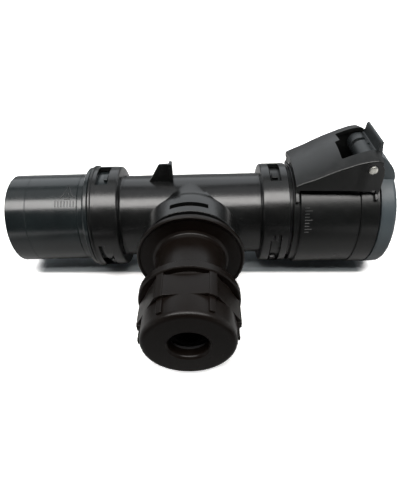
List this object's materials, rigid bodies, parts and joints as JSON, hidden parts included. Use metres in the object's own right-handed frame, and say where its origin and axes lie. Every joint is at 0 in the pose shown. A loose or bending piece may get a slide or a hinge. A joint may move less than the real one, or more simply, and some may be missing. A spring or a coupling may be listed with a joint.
{
  "type": "three-way industrial power connector",
  "caption": "Tee-shaped in-line power connector: shrouded plug at one end, coupler with sprung hinged lid at the other, cable gland on the branch.",
  "frame": {"origin": "centre of the plug insert's front face, on the run axis", "axes": "+X along the run to the coupler, -Y along the branch to the cable gland, +Z to the lid hinge and retaining lug"},
  "size_m": [0.2433, 0.1462, 0.0928],
  "materials": {
    "black_plastic": "satin moulded black thermoplastic, fine grain",
    "blue_black_plastic": "satin moulded black thermoplastic, slightly blue",
    "brown_black_plastic": "satin moulded black polyamide, slightly brown",
    "insert_plastic": "fine matt dark grey thermoset",
    "claw_plastic": "natural grey polyamide",
    "rubber": "matt black elastomer",
    "nickel": "nickel-plated, lightly brushed",
    "brass": "turned brass",
    "steel": "zinc-plated steel",
    "wire_brown": "smooth brown insulation",
    "wire_black": "smooth black insulation",
    "wire_grey": "smooth grey insulation",
    "wire_blue": "smooth blue insulation",
    "wire_green": "smooth green and yellow insulation"
  },
  "bodies": {
    "tee": {"tee_body": "black_plastic", "plug_insert": "insert_plastic", "coupler_insert": "insert_plastic", "plug_joint_seal": "rubber", "coupler_joint_seal": "rubber", "branch_joint_seal": "rubber", "earth_pin": "nickel", "pin_l1": "nickel", "pin_l2": "nickel", "pin_l3": "nickel", "pin_neutral": "nickel", "contact_l1": "brass", "contact_l2": "brass", "contact_l3": "brass", "contact_neutral": "brass", "contact_earth": "brass", "link_l1": "wire_brown", "plug_screw_l1": "steel", "coupler_screw_l1": "steel", "link_l2": "wire_black", "plug_screw_l2": "steel", "coupler_screw_l2": "steel", "link_l3": "wire_grey", "plug_screw_l3": "steel", "coupler_screw_l3": "steel", "link_neutral": "wire_blue", "plug_screw_neutral": "steel", "coupler_screw_neutral": "steel", "link_earth": "wire_green", "plug_screw_earth": "steel", "coupler_screw_earth": "steel"},
    "plug_shell": {"plug_sleeve": "blue_black_plastic"},
    "coupler_shell": {"coupler_sleeve": "blue_black_plastic", "coupler_face_seal": "rubber", "hinge_hood": "black_plastic", "lid_hinge_pin": "nickel", "lid_spring": "steel"},
    "lid": {"lid": "blue_black_plastic", "lid_gasket": "rubber"},
    "gland_adaptor": {"gland_adaptor": "brown_black_plastic", "gland_claw": "claw_plastic", "gland_seal": "rubber"},
    "slip_ring": {"gland_slip_ring": "insert_plastic"},
    "nut": {"gland_nut": "brown_black_plastic"}
  },
  "joints": [
    {"name": "plug_turn", "type": "hinge", "parent": "tee", "child": "plug_shell", "pos_m": [0, 0, 0], "axis": [1, 0, 0], "range_deg": [-16, 7]},
    {"name": "coupler_turn", "type": "hinge", "parent": "tee", "child": "coupler_shell", "pos_m": [0.14, 0, 0], "axis": [-1, 0, 0], "range_deg": [-4, 18]},
    {"name": "lid_hinge", "type": "hinge", "parent": "coupler_shell", "child": "lid", "pos_m": [0.1845, 0, 0.045], "axis": [0, -1, 0], "range_deg": [0, 105], "stiffness_Nm_per_rad": 0.05},
    {"name": "adaptor_turn", "type": "hinge", "parent": "tee", "child": "gland_adaptor", "pos_m": [0.078, -0.035, 0], "axis": [0, -1, 0], "range_deg": [-14, 14]},
    {"name": "nut_travel", "type": "slide", "parent": "gland_adaptor", "child": "slip_ring", "axis": [0, -1, 0], "range_m": [0, 0.0061]},
    {"name": "nut_turn", "type": "hinge", "parent": "slip_ring", "child": "nut", "pos_m": [0.078, -0.09, 0], "axis": [0, -1, 0], "range_deg": [0, 720]}
  ],
  "couplings": [
    {"joint": "nut_travel", "follows": "nut_turn", "m_per_rad": 0.00047746}
  ]
}
